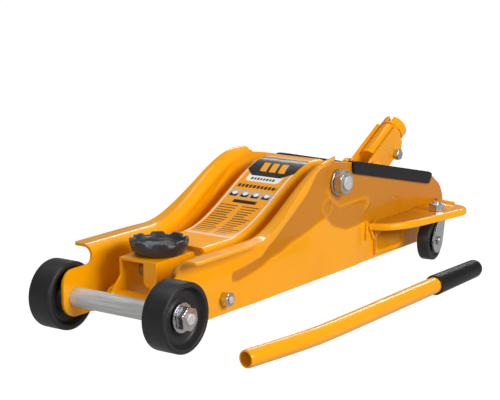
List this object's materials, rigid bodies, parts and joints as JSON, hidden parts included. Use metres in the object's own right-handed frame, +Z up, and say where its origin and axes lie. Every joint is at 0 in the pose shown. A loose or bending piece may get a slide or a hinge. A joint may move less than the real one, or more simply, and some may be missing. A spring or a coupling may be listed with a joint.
{
  "type": "trolley jack",
  "caption": "Low-profile hydraulic trolley jack: pressed side frames, lifting arm with a turning cup saddle, rolling wheels, swivel casters, pump socket and a loose bent handle.",
  "frame": {"origin": "on the floor, under the middle of the box around the jack and its loose handle", "axes": "+Y along the jack from the saddle end to the handle end, +Z up, +X to the left of the person pumping, where the loose handle lies"},
  "size_m": [0.292, 0.5709, 0.1529],
  "materials": {
    "amber_paint": "glossy amber powder coat on pressed steel",
    "zinc_plate": "bright zinc plate",
    "bare_steel": "turned steel, lightly oiled",
    "chrome_rod": "hard chrome, ground",
    "cast_black": "black painted casting",
    "wheel_black": "moulded black nylon, satin",
    "black_rubber": "moulded black rubber, satin"
  },
  "bodies": {
    "frame": {"side_plate_left": "amber_paint", "side_plate_right": "amber_paint", "edge_grip_left": "black_rubber", "edge_grip_right": "black_rubber", "caster_wing_left": "amber_paint", "caster_wing_right": "amber_paint", "base_plate": "amber_paint", "rear_cross_bar": "amber_paint", "front_axle": "bare_steel", "wheel_washer_left": "zinc_plate", "wheel_washer_right": "zinc_plate", "wheel_nut_left": "zinc_plate", "wheel_nut_right": "zinc_plate", "front_tie_rod": "bare_steel", "tie_nut_left": "zinc_plate", "tie_nut_right": "zinc_plate", "main_pivot_shaft": "bare_steel", "pivot_washer_left": "zinc_plate", "pivot_washer_right": "zinc_plate", "pivot_nut_left": "zinc_plate", "pivot_nut_right": "zinc_plate", "link_rear_pin_left": "zinc_plate", "link_rear_pin_right": "zinc_plate", "kingpin_left": "zinc_plate", "kingpin_right": "zinc_plate", "kingpin_nut_left": "zinc_plate", "kingpin_nut_right": "zinc_plate", "reservoir": "amber_paint", "pump_block": "amber_paint", "filler_plug": "black_rubber", "socket_pin": "zinc_plate", "plunger_spring": "bare_steel", "return_spring_left": "bare_steel", "return_spring_right": "bare_steel"},
    "wheel_left": {"front_wheel_left": "wheel_black"},
    "wheel_right": {"front_wheel_right": "wheel_black"},
    "caster_left": {"caster_fork_left": "zinc_plate", "caster_axle_left": "zinc_plate"},
    "caster_right": {"caster_fork_right": "zinc_plate", "caster_axle_right": "zinc_plate"},
    "roller_left": {"caster_wheel_left": "wheel_black"},
    "roller_right": {"caster_wheel_right": "wheel_black"},
    "arm": {"lift_arm": "amber_paint", "thrust_pin": "bare_steel", "bracket_pin": "zinc_plate"},
    "bracket": {"saddle_bracket": "amber_paint", "link_front_pin": "zinc_plate"},
    "cup": {"saddle": "cast_black", "saddle_ring": "zinc_plate"},
    "link_left": {"radius_link_left": "amber_paint"},
    "link_right": {"radius_link_right": "amber_paint"},
    "piston": {"ram": "chrome_rod"},
    "pump_lever": {"handle_socket": "amber_paint", "pump_roller": "bare_steel", "clamp_screw": "zinc_plate"},
    "plunger": {"pump_plunger": "chrome_rod"},
    "valve": {"release_valve": "zinc_plate"},
    "handle": {"handle_tube": "amber_paint", "handle_grip": "black_rubber"}
  },
  "joints": [
    {"name": "arm_lift", "type": "hinge", "parent": "frame", "child": "arm", "pos_m": [-0.038, 0.053, 0.113], "axis": [-1, 0, 0], "range_deg": [0, 60]},
    {"name": "saddle_level", "type": "hinge", "parent": "arm", "child": "bracket", "pos_m": [-0.038, -0.185, 0.055], "axis": [-1, 0, 0], "range_deg": [-60, 0]},
    {"name": "link_swing_left", "type": "hinge", "parent": "frame", "child": "link_left", "pos_m": [0.006, 0.0325, 0.088], "axis": [-1, 0, 0], "range_deg": [0, 60]},
    {"name": "link_swing_right", "type": "hinge", "parent": "frame", "child": "link_right", "pos_m": [-0.082, 0.0325, 0.088], "axis": [-1, 0, 0], "range_deg": [0, 60]},
    {"name": "saddle_turn", "type": "hinge", "parent": "bracket", "child": "cup", "pos_m": [-0.038, -0.185, 0.082], "axis": [0, 0, 1], "continuous": true},
    {"name": "wheel_roll_left", "type": "hinge", "parent": "frame", "child": "wheel_left", "pos_m": [0.03475, -0.251, 0.035], "axis": [1, 0, 0], "continuous": true},
    {"name": "wheel_roll_right", "type": "hinge", "parent": "frame", "child": "wheel_right", "pos_m": [-0.11075, -0.251, 0.035], "axis": [1, 0, 0], "continuous": true},
    {"name": "caster_swivel_left", "type": "hinge", "parent": "frame", "child": "caster_left", "pos_m": [0.047, 0.221, 0.05], "axis": [0, 0, 1], "range_deg": [-30, 194]},
    {"name": "caster_swivel_right", "type": "hinge", "parent": "frame", "child": "caster_right", "pos_m": [-0.123, 0.221, 0.05], "axis": [0, 0, 1], "range_deg": [-190, 34]},
    {"name": "caster_roll_left", "type": "hinge", "parent": "caster_left", "child": "roller_left", "pos_m": [0.04967, 0.20199, 0.023], "axis": [0.9903, 0.1392, 0], "continuous": true},
    {"name": "caster_roll_right", "type": "hinge", "parent": "caster_right", "child": "roller_right", "pos_m": [-0.12699, 0.20222, 0.023], "axis": [0.9781, -0.2079, 0], "continuous": true},
    {"name": "ram_slide", "type": "slide", "parent": "frame", "child": "piston", "axis": [0, -1, 0], "range_m": [0, 0.0552], "deforming": ["return_spring_left", "return_spring_right"]},
    {"name": "handle_pump", "type": "hinge", "parent": "frame", "child": "pump_lever", "pos_m": [-0.038, 0.194, 0.098], "axis": [1, 0, 0], "range_deg": [0, 55]},
    {"name": "plunger_stroke", "type": "slide", "parent": "frame", "child": "plunger", "axis": [0, 0, 1], "range_m": [0, 0.0149], "deforming": ["plunger_spring"]},
    {"name": "valve_turn", "type": "hinge", "parent": "frame", "child": "valve", "pos_m": [-0.038, 0.26, 0.048], "axis": [0, 1, 0], "range_deg": [0, 180]},
    {"name": "handle_pick_up", "type": "slide", "parent": "frame", "child": "handle", "axis": [0, 0, 1], "range_m": [0, 0.3]}
  ],
  "couplings": [
    {"joint": "saddle_level", "follows": "arm_lift", "ratio": -1},
    {"joint": "link_swing_left", "follows": "arm_lift", "ratio": 1},
    {"joint": "link_swing_right", "follows": "arm_lift", "ratio": 1},
    {"joint": "ram_slide", "follows": "arm_lift", "m_per_rad": 0.05252},
    {"joint": "plunger_stroke", "follows": "handle_pump", "m_per_rad": 0.015378}
  ]
}
